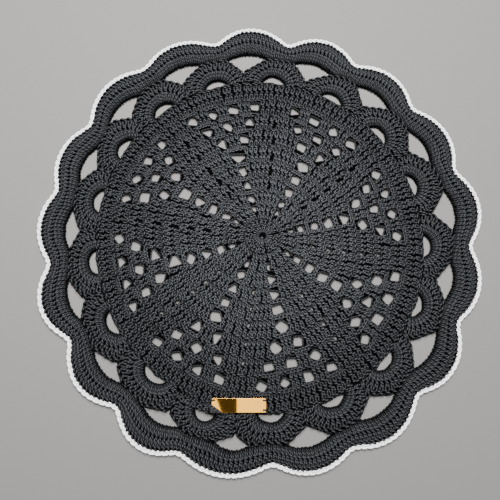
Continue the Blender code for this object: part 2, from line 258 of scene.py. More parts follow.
class Chart:
    """Where each round, gap and arch of the crochet lies on the mat."""

    def __init__(self) -> None:
        """Draws the uneven gaps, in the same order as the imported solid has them."""
        spread, leaning = random.Random(SIZE_SEED), random.Random(LEAN_SEED)
        self.openings: dict[int, list[Opening]] = {}
        for i, (inner, this) in enumerate(zip(ROUNDS, ROUNDS[1:]), start=1):
            length = self.sector_length((inner.radius + this.radius) / 2)
            found = []
            for sector in range(len(SPOKES)):
                for k in range(this.gaps):
                    at = sector + (k - (this.gaps - 1) / 2) * (BLOCK_WIDTH + this.width) / length
                    half_w = this.width / 2 * (1 + spread.uniform(-GAP_UNEVEN, GAP_UNEVEN)) / length
                    half_d = this.depth / 2 * (1 + spread.uniform(-GAP_UNEVEN, GAP_UNEVEN))
                    foot, head = (half_w * leaning.uniform(*GAP_LEAN) for _ in range(2))
                    found.append(Opening(at, foot, head, half_d))
                if this.gaps or this.slit_head:
                    middle = sector + 0.5 if this.gaps else sector
                    found.append(Opening(middle, this.slit_foot / 2 / length, this.slit_head / 2 / length))
            self.openings[i] = sorted(found)

    @staticmethod
    def sector_length(radius: float) -> float:
        """Length of an eighth of a round."""
        return 2 * math.pi * radius / len(SPOKES)

    @staticmethod
    def polar(deg: float, radius: float) -> Vector:
        """A point by its angle and radius."""
        a = math.radians(deg)
        return Vector((radius * math.cos(a), radius * math.sin(a)))

    def laid(self, deg: float, radius: float) -> Vector:
        """Where a point of a round comes to lie.

        Args:
            deg: Its angle.
            radius: Its even radius, before the rounds slid and stretched a little.

        Returns:
            The point.
        """
        row = LIE[-1][1:]
        for low, high in zip(LIE, LIE[1:]):
            if radius <= high[0]:
                t = (radius - low[0]) / (high[0] - low[0])
                row = [mix(low[k], high[k], t) for k in (1, 2, 3)]
                break
        slide_x, slide_y, oval = row
        a = math.radians(deg)
        reach = radius * (1 - oval * math.cos(2 * a)) + slide_x * math.cos(a) + slide_y * math.sin(a)
        return self.polar(deg, reach)

    def at(self, sector: float, radius: float) -> Vector:
        """Where a stitch lies.

        Args:
            sector: Its place in the eight sectors, where whole numbers are the lines of gaps.
            radius: Its even radius.

        Returns:
            The point.
        """
        t = min(1, max(0, (radius - SPOKE_INNER) / (SPOKE_OUTER - SPOKE_INNER)))
        k = math.floor(sector)
        around = []
        for i in (k, k + 1):
            turns, row = divmod(i, len(SPOKES))
            around.append(mix(*SPOKES[row], t) + 360 * turns)
        fade = min(1, (LAST_ROUND - radius) / (LAST_ROUND - SPOKE_OUTER))
        bulge = WEDGE_BULGE * radius * fade * (1 - math.cos(2 * math.pi * sector)) / 2
        return self.laid(mix(*around, sector - k), radius + bulge)

    def gaps(self) -> Iterator[tuple[int, Opening]]:
        """Each gap with the number of its round."""
        for index, openings in self.openings.items():
            yield from ((index, opening) for opening in openings if opening.is_gap)

    def gap_rings(self) -> list[list[Vector]]:
        """Pulls the gaps into uneven kites and triangles, as their yarn does.

        Returns:
            Their outlines.
        """
        rings = []
        pulled = random.Random(CORNER_SEED)
        for i, gap in self.gaps():
            middle = (ROUNDS[i - 1].radius + ROUNDS[i].radius) / 2
            count = pulled.choice(GAP_CORNERS)
            first = pulled.uniform(0, 360)
            wide = TRIANGLE_REACH if count == 3 else 1
            corners = [self.polar(first + 360 * k / count + pulled.uniform(-GAP_TURN, GAP_TURN),
                                  pulled.uniform(*GAP_REACH) * wide) for k in range(count)]
            ring = [mix(a, b, t) for a, b in zip(corners, [*corners[1:], corners[0]]) for t in GAP_SIDE]
            half = (gap.half_foot + gap.half_head) / 2
            rings.append([self.at(gap.at + p.x * half, middle + p.y * gap.half_depth) for p in ring])
        return rings

    def pinhole_rings(self) -> list[list[Vector]]:
        """Finds where light shows between single stitches.

        Returns:
            The outline of the first ring's hole, and then those of the pinholes.
        """
        middle, radius = CENTRE_HOLE
        rings = [[middle + self.polar(deg, radius) for deg in HEXAGON]]
        for i, openings in self.openings.items():
            this = ROUNDS[i]
            if not this.pinhole:
                continue
            level = mix(ROUNDS[i - 1].radius, this.radius, this.pinhole_at)
            reach = this.pinhole / self.sector_length(level)
            around = [self.polar(deg, 1.0) for deg in HEXAGON]
            for slit in openings:
                if not slit.is_gap and (not this.gaps or math.floor(slit.at) in LIT_WEDGES):
                    rings.append([self.at(slit.at + p.y * reach, level + PINHOLE_LENGTH * p.x * this.pinhole)
                                  for p in around])
        return rings

    @staticmethod
    def scallops() -> Iterator[tuple[Scallop, Scallop]]:
        """Goes round the mat by its scallops.

        Returns:
            Each scallop with the next one, whose angles are never smaller.
        """
        for i, this in enumerate(SCALLOPS):
            turn, k = divmod(i + 1, len(SCALLOPS))
            after = SCALLOPS[k]
            yield this, after._replace(notch=after.notch + 360 * turn, arch=after.arch + 360 * turn)

    def outline(self, deg: float) -> float:
        """Measures the charcoal crochet's outline.

        Args:
            deg: An angle.

        Returns:
            Its radius there.
        """
        first = SCALLOPS[0].notch
        deg = (deg - first) % 360 + first
        this, after = next(pair for pair in self.scallops() if deg <= pair[1].notch)
        t = (deg - this.notch) / (after.notch - this.notch)
        off = abs(2 * t - 1)
        rounding = max(0, off - 1 + NOTCH_ROUND) ** 2 / NOTCH_ROUND
        rise = (1 - off * off + rounding - NOTCH_ROUND) / (1 - NOTCH_ROUND)
        low, high = this.notch_radius, after.notch_radius
        return mix(low, high, t) + (this.tip - (low + high) / 2) * rise

    def outline_ring(self, steps: int) -> list[Vector]:
        """Walks round the charcoal crochet's outline.

        Args:
            steps: Steps in each scallop.

        Returns:
            The outline's points.
        """
        ring = []
        for this, after in self.scallops():
            angles = [mix(this.notch, after.notch, k / steps) for k in range(steps)]
            ring += [self.polar(deg, self.outline(deg)) for deg in angles]
        return ring

    def notch_foot(self, scallop: Scallop, depth: float) -> Vector:
        """The point that lies a depth inside the notch before a scallop."""
        return self.polar(scallop.notch, scallop.notch_radius - depth)

    def moon_foot(self, this: Scallop, t: float) -> Vector:
        """A point of the half-moon hole's straight side, t from -1 to 1 along it."""
        deg = this.arch + t * this.inner_half
        return self.polar(deg, self.laid(deg, LAST_ROUND).length + this.off)

    def half_moon(self, this: Scallop, t: float) -> Vector:
        """A point of the half-moon hole's outer side, t from -1 to 1 along it."""
        foot = self.moon_foot(this, t)
        return foot + foot.normalized() * INNER_HOLE_DEPTH * (1 - t * t) ** INNER_HOLE_POWER

    def hole_middle(self, this: Scallop, after: Scallop) -> tuple[float, float]:
        """Angles of an outer hole's middle and of its valley."""
        valley = (this.arch + after.arch) / 2
        return (valley + (this.notch + after.notch) / 2) / 2, valley

    def hole_far(self, this: Scallop, after: Scallop, t: float) -> Vector:
        """A point of an outer hole's outer side, t from -1 to 1 along it."""
        middle, _ = self.hole_middle(this, after)
        return self.polar(middle + t * this.half, this.far - OUTER_HOLE_SAG * t * t)

    def hole_near(self, this: Scallop, after: Scallop, t: float) -> Vector:
        """A point of an outer hole's inner side.

        Args:
            this: The scallop that the hole belongs to.
            after: The next one.
            t: Its place from -1 to 1, with the valley at 0.

        Returns:
            The point.
        """
        middle, valley = self.hole_middle(this, after)
        deg = mix(valley, middle, abs(t)) + t * this.half
        return self.polar(deg, mix(this.valley, this.far - OUTER_HOLE_SAG, abs(t) ** SHOULDER_POWER))


class Cell(NamedTuple):
    """The place of one stitch: two corners at its foot, two at its head, and its height."""

    foot_a: Vector
    foot_b: Vector
    head_a: Vector
    head_b: Vector
    height: float


class StitchKind(Enum):
    """The kinds of stitch, each with its strands: shares across, along and up its cell."""

    FIRST = (  # a double crochet of the first round, fanned out from the ring
        ((0.27, -0.04, 0.20), (0.25, 0.12, 0.62), (0.25, 0.32, 0.78), (0.36, 0.54, 0.66)),
        ((0.75, -0.04, 0.20), (0.77, 0.12, 0.56), (0.75, 0.32, 0.72), (0.64, 0.54, 0.60)),
        ((0.04, 0.46, 0.40), (0.26, 0.52, 0.80), (0.70, 0.58, 0.84), (0.96, 0.66, 0.40)),
        ((0.12, 0.30, 0.30), (0.06, 0.46, 0.50), (0.10, 0.64, 0.62), (0.26, 0.84, 0.50)),
        ((0.60, 0.62, 0.48), (0.36, 0.70, 0.74), (0.22, 0.82, 0.72), (0.34, 0.94, 0.46)),
        ((0.42, 0.64, 0.42), (0.62, 0.72, 0.66), (0.74, 0.84, 0.66), (0.60, 0.95, 0.44)),
        ((0.90, 0.56, 0.36), (0.96, 0.68, 0.60), (0.88, 0.80, 0.66), (0.96, 0.94, 0.40)),
        ((-0.04, 0.84, 0.34), (0.16, 0.90, 0.70), (0.40, 0.97, 0.76), (0.54, 1.02, 0.38)),
        ((0.46, 0.84, 0.34), (0.62, 0.90, 0.70), (0.88, 0.98, 0.74), (1.02, 1.03, 0.38)),
        ((0.50, 0.10, 0.24), (0.50, 0.50, 0.26), (0.48, 0.96, 0.26)),
        ((0.98, 0.20, 0.24), (0.98, 0.56, 0.26), (0.96, 0.96, 0.26)),
    )
    POST = (  # a double crochet of a round
        ((0.38, -0.08, 0.30), (0.24, 0.10, 0.56), (0.34, 0.28, 0.74), (0.60, 0.46, 0.44)),
        ((0.66, -0.06, 0.30), (0.80, 0.10, 0.46), (0.70, 0.27, 0.60), (0.42, 0.46, 0.38)),
        ((0.06, 0.34, 0.34), (0.22, 0.43, 0.74), (0.74, 0.56, 0.84), (0.94, 0.66, 0.36)),
        ((0.62, 0.48, 0.42), (0.32, 0.64, 0.72), (0.24, 0.78, 0.70), (0.38, 0.90, 0.44)),
        ((0.44, 0.52, 0.38), (0.72, 0.67, 0.62), (0.78, 0.79, 0.62), (0.62, 0.90, 0.42)),
        ((-0.04, 0.84, 0.34), (0.18, 0.90, 0.70), (0.72, 0.99, 0.76), (0.98, 1.04, 0.38)),
        ((-0.20, 1.03, 0.30), (0.45, 1.08, 0.34), (1.15, 1.00, 0.30)),
        ((0.30, -0.04, 0.26), (0.24, 0.46, 0.26), (0.36, 0.96, 0.26)),
        ((0.72, -0.04, 0.26), (0.76, 0.46, 0.26), (0.66, 0.96, 0.26)),
    )
    ARCH = (  # a double crochet that wraps a loop
        ((0.46, 0.06, 0.25), (0.44, -0.01, 0.26), (0.40, 0.29, 0.70), (0.52, 0.51, 0.74)),
        ((0.92, 0.08, 0.25), (0.94, 0.01, 0.25), (0.88, 0.30, 0.52), (0.72, 0.47, 0.62)),
        ((0.08, 0.32, 0.36), (0.24, 0.42, 0.76), (0.74, 0.56, 0.84), (0.98, 0.68, 0.40)),
        ((0.64, 0.50, 0.58), (0.34, 0.64, 0.78), (0.22, 0.78, 0.70), (0.40, 0.89, 0.42)),
        ((0.40, 0.54, 0.48), (0.70, 0.66, 0.72), (0.82, 0.80, 0.64), (0.62, 0.93, 0.40)),
        ((-0.04, 0.78, 0.34), (0.20, 0.87, 0.68), (0.70, 0.98, 0.72), (1.00, 1.03, 0.34)),
        ((-0.20, 0.98, 0.22), (0.45, 1.02, 0.28), (1.15, 0.97, 0.22)),
        ((0.30, 0.08, 0.20), (0.26, 0.48, 0.20), (0.34, 0.94, 0.20)),
        ((0.74, 0.08, 0.20), (0.76, 0.48, 0.20), (0.68, 0.94, 0.20)),
    )
    LINK = (  # a link of the edging or of a chain over a gap
        ((0.50, -0.34, 0.26), (0.20, 0.10, 0.60), (0.20, 0.62, 0.76), (0.50, 1.06, 0.58)),
        ((0.50, -0.30, 0.26), (0.80, 0.14, 0.60), (0.80, 0.66, 0.74), (0.50, 1.10, 0.54)),
    )


@dataclass(frozen=True)
class Spinning:
    """How thick a strand is, how finely it is modelled and how loosely it lies."""

    radius: float = 0.00092
    sides: int = 5
    smoothness: int = 2
    wander: float = 0.0016
    wander_length: float = 0.0055
    seed: float = 1.0


CORD = Spinning()
FIRST_CORD = Spinning(radius=0.00072, wander=0.0010)
RIM_CORD = Spinning(radius=0.0006, wander=0.0006, smoothness=1)
LINK_CORD = Spinning(radius=0.00084, wander=0.0003, seed=4.0)
CORE_CORD = Spinning(radius=0.0010, wander=0.0, sides=6)
CORNER_CORD = Spinning(radius=0.00072, smoothness=4, wander=0.0012)
THREAD = Spinning(radius=0.00030, smoothness=4, wander=0.0)


class Nodes:
    """Adds nodes to a tree and joins them, one call for each."""

    def __init__(self, tree: NodeTree) -> None:
        """Keeps the tree."""
        self.tree = tree

    def feed(self, node: Node, inputs: dict[str | int, Any]) -> None:
        """Sets a node's sockets.

        Args:
            node: The node.
            inputs: Values for its sockets, or the sockets to join them to.
        """
        for key, value in inputs.items():
            if isinstance(value, NodeSocket):
                self.tree.links.new(value, node.inputs[key])
            else:
                node.inputs[key].default_value = value

    def add(self, kind: str, inputs: dict[str | int, Any] | None = None, **settings: Any) -> Node:
        """Adds a node.

        Args:
            kind: Its type.
            inputs: Values for its sockets, or the sockets to join them to.
            **settings: Its properties.

        Returns:
            The node.
        """
        made = self.tree.nodes.new(kind)
        for key, value in settings.items():
            setattr(made, key, value)
        self.feed(made, inputs or {})
        return made

    def shape(self, kind: str, shape: NodeSocket, inputs: dict[str, Any] | None = None,
              **settings: Any) -> NodeSocket:
        """Passes a shape through a Geometry node of some kind, and gives the new shape."""
        return self.add("GeometryNode" + kind, {0: shape, **(inputs or {})}, **settings).outputs[0]

    def maths(self, operation: str, *values: Any) -> NodeSocket:
        """Adds a Math node and gives its result."""
        return self.add("ShaderNodeMath", dict(enumerate(values)), operation=operation).outputs[0]

    def vector(self, operation: str, *values: Any, **named: Any) -> NodeSocket:
        """Adds a Vector Math node and gives its vector."""
        inputs = {**dict(enumerate(values)), **named}
        return self.add("ShaderNodeVectorMath", inputs, operation=operation).outputs[0]

    def split(self, vector: NodeSocket) -> Sequence[NodeSocket]:
        """The three parts of a vector."""
        return self.add("ShaderNodeSeparateXYZ", {0: vector}).outputs

    def joined(self, x: Any, y: Any, z: Any) -> NodeSocket:
        """A vector from its three parts."""
        return self.add("ShaderNodeCombineXYZ", {0: x, 1: y, 2: z}).outputs[0]

    def noise(self, place: NodeSocket, scale: Any, detail: float, roughness: float = 0.5) -> NodeSocket:
        """The strength of a Noise Texture at a place."""
        return self.add("ShaderNodeTexNoise", {
            "Vector": place, "Scale": scale, "Detail": detail, "Roughness": roughness}).outputs["Fac"]

    def ramp(self, value: NodeSocket, low: Any, high: Any, start: float = 0.0, end: float = 1.0,
             **settings: Any) -> NodeSocket:
        """Adds a Map Range node.

        Args:
            value: The value to map.
            low: Where the result is start.
            high: Where it is end.
            start: The result at the low end.
            end: The result at the high end.
            **settings: The node's properties.

        Returns:
            Its result.
        """
        return self.add("ShaderNodeMapRange", {
            "Value": value, "From Min": low, "From Max": high, "To Min": start, "To Max": end},
            **settings).outputs[0]

    def blend(self, share: NodeSocket, a: Any, b: Any) -> NodeSocket:
        """A colour mixed from two."""
        return self.add("ShaderNodeMix", {0: share, 6: a, 7: b}, data_type="RGBA").outputs[2]

    def bump(self, distance: float, height: NodeSocket) -> NodeSocket:
        """A normal tilted by a height."""
        inputs = {"Distance": distance, "Height": height, "Strength": 1.0}
        return self.add("ShaderNodeBump", inputs).outputs[0]


class StrandTree(Nodes):
    """Geometry Nodes that turn stitch cells or loops of points into strands of yarn."""

    INPUTS = {
        "Places": "Geometry", "Stitch": "Object", "Radius": "Float", "Sides": "Int", "Smoothness": "Int",
        "Wander": "Float", "Wander Length": "Float", "Seed": "Float", "Yarn": "Material",
    }

    def __init__(self, name: str, from_cells: bool) -> None:
        """Builds the tree.

        Args:
            name: The tree's name.
            from_cells: True to lay a stitch's strands in each cell, False to follow the given edges.
        """
        super().__init__(bpy.data.node_groups.new(name, "GeometryNodeTree"))
        for label, kind in self.INPUTS.items():
            self.tree.interface.new_socket(label, in_out="INPUT", socket_type="NodeSocket" + kind)
        self.tree.interface.new_socket("Strands", in_out="OUTPUT", socket_type="NodeSocketGeometry")
        self.given = self.add("NodeGroupInput").outputs
        self._spin(self._in_cells() if from_cells else self._along_edges())

    def _position(self) -> NodeSocket:
        """The place of a point."""
        return self.add("GeometryNodeInputPosition").outputs[0]

    def _named(self, name: str, kind: str = "FLOAT_VECTOR") -> NodeSocket:
        """The value of an attribute of the places."""
        return self.add("GeometryNodeInputNamedAttribute", {"Name": name}, data_type=kind).outputs[0]

    def _between(self, share: NodeSocket, a: NodeSocket, b: NodeSocket) -> NodeSocket:
        """A vector mixed from two, also past either of them."""
        inputs = {0: share, 4: a, 5: b}
        return self.add("ShaderNodeMix", inputs, data_type="VECTOR", clamp_factor=False).outputs[1]

    def _in_cells(self) -> NodeSocket:
        """Puts the stitch in every cell and bends it to the cell's corners and height.

        Returns:
            The lines of its strands.
        """
        stitch = self.add("GeometryNodeObjectInfo", {"Object": self.given["Stitch"]}).outputs["Geometry"]
        copies = self.shape("InstanceOnPoints", self.given["Places"], {"Instance": stitch})
        strands = self.shape("RealizeInstances", copies)
        across, along, up = self.split(self._position())
        foot = self._between(across, self._named("foot_a"), self._named("foot_b"))
        head = self._between(across, self._named("head_a"), self._named("head_b"))
        rise = self.joined(0.0, 0.0, self.maths("MULTIPLY", up, self._named("height", "FLOAT")))
        place = self.vector("ADD", self._between(along, foot, head), rise)
        return self.shape("SetPosition", strands, {"Position": place})

    def _along_edges(self) -> NodeSocket:
        """Turns the edges of the places into lines."""
        return self.shape("MeshToCurve", self.given["Places"])

    def _spin(self, lines: NodeSocket) -> None:
        """Gives lines their hand-made wander, thickness, yarn coordinates and material.

        Args:
            lines: The lines that the strands follow.
        """
        where = self._position()
        scale = self.maths("DIVIDE", 1.0, self.given["Wander Length"])
        noise = self.add("ShaderNodeTexNoise", {
            "Vector": where, "W": self.given["Seed"], "Scale": scale, "Detail": 1.0}, noise_dimensions="4D")
        centred = self.vector("SUBTRACT", noise.outputs["Color"], (0.5, 0.5, 0.5))
        drift = self.vector("SCALE", centred, Scale=self.given["Wander"])
        x, y, z = self.split(self.vector("ADD", where, drift))
        above = self.joined(x, y, self.maths("MAXIMUM", z, self.given["Radius"]))
        loose = self.shape("SetPosition", lines, {"Position": above})
        curved = self.shape("CurveSplineType", loose, spline_type="CATMULL_ROM")
        fine = self.shape("SetSplineResolution", curved, {"Resolution": self.given["Smoothness"]})
        length = self.add("GeometryNodeSplineParameter").outputs["Length"]
        marked = self.shape("StoreNamedAttribute", fine, {"Name": "along", "Value": length},
                            data_type="FLOAT", domain="POINT")
        section = self.add("GeometryNodeCurvePrimitiveCircle", {
            "Resolution": self.given["Sides"], "Radius": self.given["Radius"]}).outputs[0]
        outward = self.vector("NORMALIZE", self._position())
        turned = self.shape("StoreNamedAttribute", section, {"Name": "around", "Value": outward},
                            data_type="FLOAT_VECTOR", domain="POINT")
        yarn = self.shape("CurveToMesh", marked, {"Profile Curve": turned, "Fill Caps": True})
        whole = self.shape("RealizeInstances", self.shape("SetShadeSmooth", yarn))
        dyed = self.shape("SetMaterial", whole, {"Material": self.given["Yarn"]})
        self.add("NodeGroupOutput", {0: dyed})

    def identifier(self, label: str) -> str:
        """The identifier of an input by its label."""
        items = self.tree.interface.items_tree
        return next(s.identifier for s in items if s.in_out == "INPUT" and s.name == label)


def placed(name: str, data: bpy.types.ID, material: Material | None = None) -> Object:
    """Puts a mesh, light or camera into the scene.

    Args:
        name: The new object's name.
        data: The mesh, light or camera.
        material: Its material, if it needs one.

    Returns:
        The object.
    """
    if material:
        data.materials.append(material)
    thing = bpy.data.objects.new(name, data)
    bpy.context.scene.collection.objects.link(thing)
    return thing


class Crocheter:
    """Makes pieces of yarn from cells and loops, with one tree for each."""

    KEPT = ("along", "around", "position", "material_index", "sharp_face")

    def __init__(self) -> None:
        """Builds the two trees and a stitch object of each kind."""
        self.cell_tree = StrandTree("stitches_in_cells", from_cells=True)
        self.loop_tree = StrandTree("strand_along_loops", from_cells=False)
        self.stitches = {kind: self._stitch(kind) for kind in StitchKind}

    @staticmethod
    def _stitch(kind: StitchKind) -> Object:
        """Draws one stitch's strands.

        Args:
            kind: The stitch.

        Returns:
            A curve object that holds them, in shares of its cell.
        """
        curve = bpy.data.curves.new(f"stitch_{kind.name.lower()}", "CURVE")
        curve.dimensions = "3D"
        for strand in kind.value:
            spline = curve.splines.new("POLY")
            spline.points.add(len(strand) - 1)
            for point, place in zip(spline.points, strand):
                point.co = (*place, 1.0)
        return bpy.data.objects.new(curve.name, curve)

    def stitched(self, name: str, kind: StitchKind, cells: Sequence[Cell], yarn: Material,
                 spinning: Spinning = CORD) -> Object:
        """Works a stitch into every cell.

        Args:
            name: The new piece's name.
            kind: The stitch.
            cells: Where the stitches lie.
            yarn: Their material.
            spinning: The yarn's thickness and looseness.

        Returns:
            The piece, as one plain mesh.
        """
        mesh = bpy.data.meshes.new(name + "_places")
        mesh.from_pydata([(0, 0, 0)] * len(cells), [], [])
        for corner in ("foot_a", "foot_b", "head_a", "head_b"):
            values = mesh.attributes.new(corner, "FLOAT_VECTOR", "POINT")
            places = [FIRST_RING + getattr(cell, corner).to_3d() for cell in cells]
            values.data.foreach_set("vector", [c for place in places for c in place])
        mesh.attributes.new("height", "FLOAT", "POINT").data.foreach_set("value", [c.height for c in cells])
        return self._spun(name, mesh, self.cell_tree, spinning, {"Yarn": yarn, "Stitch": self.stitches[kind]})

    def looped(self, name: str, loops: Sequence[Sequence[Vector]], yarn: Material, spinning: Spinning,
               closed: bool = True) -> Object:
        """Lays a strand along each line.

        Args:
            name: The new piece's name.
            loops: Points of each line, measured from the first ring.
            yarn: Their material.
            spinning: The strand's thickness and looseness.
            closed: True if each line returns to its first point.

        Returns:
            The piece, as one plain mesh.
        """
        verts, edges = [], []
        for loop in loops:
            start = len(verts)
            verts += [FIRST_RING + p for p in loop]
            edges += [(start + k, start + k + 1) for k in range(len(loop) - 1)]
            if closed:
                edges.append((len(verts) - 1, start))
        mesh = bpy.data.meshes.new(name + "_lines")
        mesh.from_pydata(verts, edges, [])
        return self._spun(name, mesh, self.loop_tree, spinning, {"Yarn": yarn})

    def _spun(self, name: str, mesh: Mesh, strands: StrandTree, spinning: Spinning,
              inputs: dict[str, Any]) -> Object:
        """Runs a tree on the places and keeps its result as a plain mesh.

        Args:
            name: The new piece's name.
            mesh: The places.
            strands: The tree.
            spinning: The tree's sizes.
            inputs: Its other inputs.

        Returns:
            The piece.
        """
        source = placed(name + "_source", mesh)
        modifier = source.modifiers.new("strands", "NODES")
        modifier.node_group = strands.tree
        sizes = {field.replace("_", " ").title(): value for field, value in asdict(spinning).items()}
        for label, value in (sizes | inputs).items():
            modifier[strands.identifier(label)] = value
        depsgraph = bpy.context.evaluated_depsgraph_get()
        result = bpy.data.meshes.new_from_object(
            source.evaluated_get(depsgraph), preserve_all_data_layers=True, depsgraph=depsgraph)
        source.modifiers.remove(modifier)
        bpy.data.objects.remove(source)
        for attribute in [a.name for a in result.attributes if not a.is_internal and not a.is_required]:
            if attribute not in self.KEPT:
                result.attributes.remove(result.attributes[attribute])
        result.name = name
        return placed(name, result)

    def put_away(self) -> None:
        """Removes the stitch objects once every piece is made."""
        for stitch in self.stitches.values():
            bpy.data.objects.remove(stitch)


def plied_yarn_group() -> NodeTree:
    """The twist of plies along a strand, its fibres, random changes of tone over the cloth, and masks for
    shade painted low in the cloth, on the strands' sides and near the mat's border.

    Returns:
        The effect as a shader node group.
    """
    tree = bpy.data.node_groups.new("plied_yarn", "ShaderNodeTree")
    # Low, High and Side shape the painted shade; Middle and Border shape the painted falloff of light towards
    # the mat's border
    usual = {"Plies": 3.0, "Twist Length": 0.006, "Groove": 1.0, "Fibre Size": 0.0003, "Shade Size": 0.02,
             "Low": 0.0, "High": 0.004, "Side": 0.0, "Middle": 0.05, "Border": 0.15}
    for label, value in usual.items():
        socket = tree.interface.new_socket(label, in_out="INPUT", socket_type="NodeSocketFloat")
        socket.default_value = value
    for label in ("Ply Height", "Fibres", "Shade", "Crown", "Top", "Outward"):
        tree.interface.new_socket(label, in_out="OUTPUT", socket_type="NodeSocketFloat")
    group = Nodes(tree)
    given = group.add("NodeGroupInput").outputs
    turn = group.split(group.add("ShaderNodeAttribute", attribute_name="around").outputs["Vector"])
    along = group.add("ShaderNodeAttribute", attribute_name="along").outputs["Fac"]
    half_plies = group.maths("MULTIPLY", given["Plies"], 0.5)
    round_ply = group.maths("MULTIPLY", group.maths("ARCTAN2", turn[1], turn[0]), half_plies)
    twist = group.maths("MULTIPLY", group.maths("DIVIDE", along, given["Twist Length"]), 2 * math.pi)
    phase = group.maths("ADD", round_ply, group.maths("MULTIPLY", twist, half_plies))
    round_top = group.maths("ABSOLUTE", group.maths("SINE", phase))
    own = group.add("ShaderNodeTexCoord").outputs
    place = own["Object"]
    x, y, level = group.split(place)
    reach = group.add("ShaderNodeVectorMath", {0: group.joined(x, y, 0.0)}, operation="LENGTH")
    smooth = {"interpolation_type": "SMOOTHSTEP"}
    group.add("NodeGroupOutput", {
        "Ply Height": group.maths("POWER", round_top, given["Groove"]),
        "Fibres": group.noise(place, group.maths("DIVIDE", 1.0, given["Fibre Size"]), 2.0, 0.6),
        "Shade": group.noise(place, group.maths("DIVIDE", 1.0, given["Shade Size"]), 3.0, 0.55),
        # Crown: painted shade, darker the lower a point lies in the cloth
        "Crown": group.ramp(level, given["Low"], given["High"], **smooth),
        # Top: painted shade, darker the more a surface faces sideways or down
        "Top": group.ramp(group.split(own["Normal"])[2], given["Side"], 1.0, **smooth),
        # Outward: mask for the painted falloff of light towards the mat's border
        "Outward": group.ramp(reach.outputs["Value"], given["Middle"], given["Border"], **smooth),
    })
    return tree


class Finish(Nodes):
    """A new material with its shader, to which nodes are added."""

    def __init__(self, name: str) -> None:
        """Makes the material.

        Args:
            name: Its name.
        """
        self.material = bpy.data.materials.new(name)
        self.material.use_nodes = True
        super().__init__(self.material.node_tree)

    def shade(self, inputs: dict[str, Any]) -> Material:
        """Sets the shader's sockets and gives the material."""
        self.feed(self.tree.nodes["Principled BSDF"], inputs)
        return self.material


@dataclass(frozen=True)
class YarnFinish:
    """A yarn's colours and how its plies catch the light, with shade painted into its colour between the
    plies, low in the cloth, on the strands' sides and near the mat's border.
    """

    name: str
    valley: Triple            # colour of the painted shade: between the plies, low in the cloth and on the strands' sides
    crown: Triple             # and on the strands' tops
    faded: Triple             # and there where the shade is lighter
    roughness: float
    gloss: float
    plies: int
    twist_length: float
    groove: float             # above 1, the grooves between the plies, and the shade painted in them, are wider
    ply_relief: float
    high: float = 0.006       # height from which a strand has no painted shade
    low: float = 0.0          # height up to which shade is painted as dark as a valley
    side: float = -1.5        # Z of the normal up to which shade is painted as dark on a surface facing sideways or down
    border: float = 1.0       # painted light falloff: brightness near the mat's border, against that of its middle
    sheen: float = 0.0
    sheen_tint: Triple = (1.0, 1.0, 1.0)
    fibre_share: float = 0.2  # of the relief that is fibres and not plies

    def make(self, group: NodeTree) -> Material:
        """Builds the material.

        Args:
            group: The plied-yarn effect.

        Returns:
            The material.
        """
        nodes = Finish(self.name)
        effect = nodes.add("ShaderNodeGroup", {
            "Plies": self.plies, "Twist Length": self.twist_length, "Groove": self.groove,
            "Low": self.low, "High": self.high, "Side": self.side}, node_tree=group).outputs
        worn = nodes.blend(effect["Shade"], (*self.crown, 1), (*self.faded, 1))
        plies = nodes.maths("MULTIPLY", effect["Ply Height"], 1 - self.fibre_share)
        fuzz = nodes.maths("MULTIPLY_ADD", effect["Fibres"], 1.0, 0.5)
        # Painted shade: darker low in the cloth (Crown) and on the strands' sides (Top)
        crowned = nodes.maths("MULTIPLY", effect["Crown"], effect["Top"])
        # Painted shade in the grooves between the plies, with the fibres' random tone, times the painted
        # shade by height and side
        painted_light_share = nodes.maths("MULTIPLY", nodes.maths("MULTIPLY", effect["Ply Height"], fuzz), crowned)
        # Painted falloff of light towards the mat's border
        painted_border_falloff = nodes.maths("MULTIPLY_ADD", effect["Outward"], self.border - 1, 1.0)
        lit = nodes.maths("MULTIPLY", painted_light_share, painted_border_falloff)
        relief = nodes.maths("MULTIPLY_ADD", effect["Fibres"], self.fibre_share, plies)
        return nodes.shade({
            # The colour runs from the painted shade of the valley colour up to the yarn's own randomly varied
            # colour
            "Base Color": nodes.blend(lit, (*self.valley, 1), worn),
            "Normal": nodes.bump(self.ply_relief, relief),
            "Roughness": self.roughness, "Specular IOR Level": self.gloss, "Sheen Weight": self.sheen,
            "Sheen Roughness": 0.5, "Sheen Tint": (*self.sheen_tint, 1)})


# Near-black valleys paint deep shade between the plies, low in the cloth and on the strands' sides;
# border=0.58 dims the colour towards the mat's border as a painted falloff of light
CHARCOAL_YARN = YarnFinish(
    "charcoal_yarn", valley=(0.0004, 0.0005, 0.0006), crown=(0.071, 0.074, 0.082),
    faded=(0.090, 0.093, 0.100), roughness=0.55, gloss=0.08, plies=2, twist_length=0.0054, groove=1.5,
    ply_relief=0.00045, high=0.0044, low=0.0011, side=0.25, border=0.58, sheen=0.01,
    sheen_tint=(0.8, 0.9, 1.0))
# A near-black copy of the charcoal yarn for the cloth body: painted shade that shows between the stitches
CHARCOAL_PAINTED_SHADE = YarnFinish(
    "charcoal_depth", valley=(0.0004, 0.0004, 0.0004), crown=(0.0067, 0.0070, 0.0075),
    faded=(0.0092, 0.0095, 0.0100), roughness=0.9, gloss=0.03, plies=3, twist_length=0.0066, groove=1.0,
    ply_relief=0.00010)
WHITE_YARN = YarnFinish(
    "white_yarn", valley=(0.80, 0.80, 0.80), crown=(0.97, 0.97, 0.97), faded=(0.95, 0.95, 0.95),
    roughness=0.8, gloss=0.3, plies=3, twist_length=0.0066, groove=0.8, ply_relief=0.00012,
    high=0.002, low=-0.004)
SEWING_THREAD = YarnFinish(
    "black_thread", valley=(0.002, 0.002, 0.002), crown=(0.018, 0.018, 0.020), faded=(0.024, 0.024, 0.026),
    roughness=0.5, gloss=0.3, plies=2, twist_length=0.0012, groove=1.0, ply_relief=0.00005)


